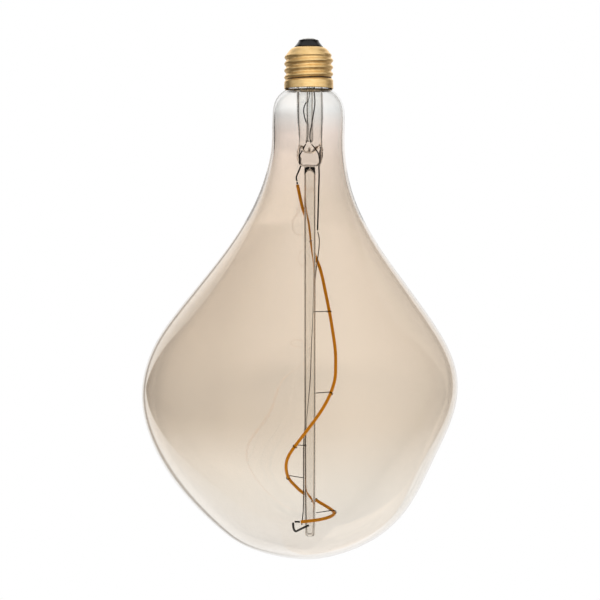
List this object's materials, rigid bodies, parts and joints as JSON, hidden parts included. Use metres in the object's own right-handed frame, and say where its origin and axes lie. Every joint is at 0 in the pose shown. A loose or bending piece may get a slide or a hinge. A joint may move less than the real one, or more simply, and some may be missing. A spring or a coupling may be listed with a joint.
{
  "type": "smart light bulb",
  "caption": "Large drop-shaped amber LED filament bulb with a screw cap, a wireless driver in the cap and one long filament wound round a glass tube.",
  "frame": {"origin": "centre of the centre contact's flat outer face, where the cap seats in its lampholder", "axes": "+Z out of the cap along its axis, so the bulb hangs down -Z; -Y is the front; +X is the front view's right"},
  "size_m": [0.166, 0.1641, 0.2775],
  "materials": {
    "cap_brass": "rolled and plated, bright",
    "black_insulator": "glossy",
    "amber_glass": "clear, with a light amber tint that fades out at the neck",
    "clear_glass": "clear, fire-polished",
    "cement": "matt",
    "copper_wire": "bare copper",
    "dark_wire": "dark oxidised",
    "bright_wire": "drawn nickel",
    "phosphor_coat": "translucent silicone full of phosphor",
    "circuit_board": "satin solder mask",
    "chip_black": "moulded epoxy",
    "can_aluminium": "satin",
    "ferrite_core": "matt",
    "varistor_coat": "dipped lacquer",
    "resistor_coat": "dipped lacquer",
    "sleeve_plastic": "matt"
  },
  "bodies": {
    "root": {"screw_shell": "cap_brass", "centre_contact": "bright_wire", "cap_insulator": "black_insulator", "basing_cement": "cement", "glass_envelope": "amber_glass", "glass_stem": "clear_glass", "exhaust_tube": "clear_glass", "support_tube": "clear_glass", "outer_lead_left": "copper_wire", "outer_lead_right": "copper_wire", "seal_lead_left": "copper_wire", "seal_lead_right": "copper_wire", "inner_lead_left": "dark_wire", "inner_lead_right": "dark_wire", "return_lead": "bright_wire", "end_lead": "dark_wire", "led_filament": "phosphor_coat", "filament_terminal_top": "bright_wire", "filament_terminal_end": "bright_wire", "filament_hook_1": "bright_wire", "filament_hook_2": "bright_wire", "filament_hook_3": "bright_wire", "filament_hook_4": "bright_wire", "filament_hook_5": "bright_wire", "filament_hook_6": "bright_wire", "filament_hook_7": "bright_wire", "driver_sleeve": "sleeve_plastic", "driver_board": "circuit_board", "smoothing_capacitor": "can_aluminium", "filter_inductor": "ferrite_core", "surge_varistor": "varistor_coat", "fusible_resistor": "resistor_coat", "bridge_rectifier": "chip_black", "driver_chip": "chip_black", "wireless_board": "circuit_board", "wireless_chip": "chip_black", "live_lead": "copper_wire", "neutral_lead": "copper_wire"}
  },
  "joints": []
}
